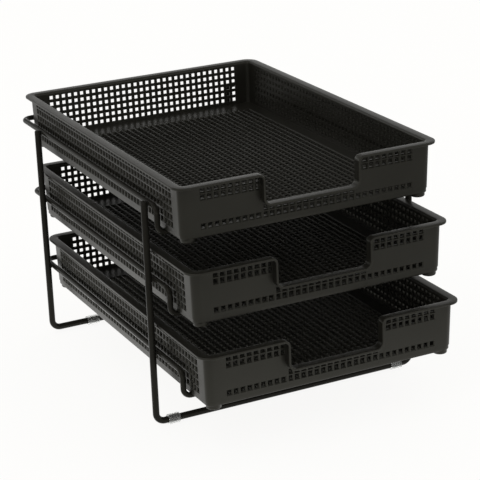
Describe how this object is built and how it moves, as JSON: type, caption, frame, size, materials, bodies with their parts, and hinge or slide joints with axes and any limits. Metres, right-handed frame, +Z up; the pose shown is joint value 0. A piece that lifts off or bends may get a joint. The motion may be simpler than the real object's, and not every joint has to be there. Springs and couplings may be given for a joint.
{
  "type": "letter tray stand",
  "caption": "Black wire desk stand that carries sliding moulded mesh letter trays, stepped forward level by level, on clear foot sleeves.",
  "frame": {"origin": "middle of the stand's footprint on the table", "axes": "+Z up, the open fronts of the trays face -Y, +X to the right seen from the front"},
  "size_m": [0.2654, 0.408, 0.2335],
  "materials": {
    "tray_plastic": "satin moulded black",
    "black_wire": "smooth black coated steel wire",
    "clear_sleeve": "clear soft plastic tube"
  },
  "bodies": {
    "rack": {"top_hoop": "black_wire", "middle_hoop": "black_wire", "bottom_hoop": "black_wire", "front_leg_wire": "black_wire", "rear_leg_wire": "black_wire", "front_left_foot_sleeve": "clear_sleeve", "front_right_foot_sleeve": "clear_sleeve", "rear_left_foot_sleeve": "clear_sleeve", "rear_right_foot_sleeve": "clear_sleeve"},
    "top_tray": {"top_tray": "tray_plastic"},
    "middle_tray": {"middle_tray": "tray_plastic"},
    "bottom_tray": {"bottom_tray": "tray_plastic"}
  },
  "joints": [
    {"name": "top_tray_slide", "type": "slide", "parent": "rack", "child": "top_tray", "axis": [0, -1, 0], "range_m": [0, 0.29]},
    {"name": "middle_tray_slide", "type": "slide", "parent": "rack", "child": "middle_tray", "axis": [0, -1, 0], "range_m": [0, 0.29]},
    {"name": "bottom_tray_slide", "type": "slide", "parent": "rack", "child": "bottom_tray", "axis": [0, -1, 0], "range_m": [0, 0.29]}
  ]
}
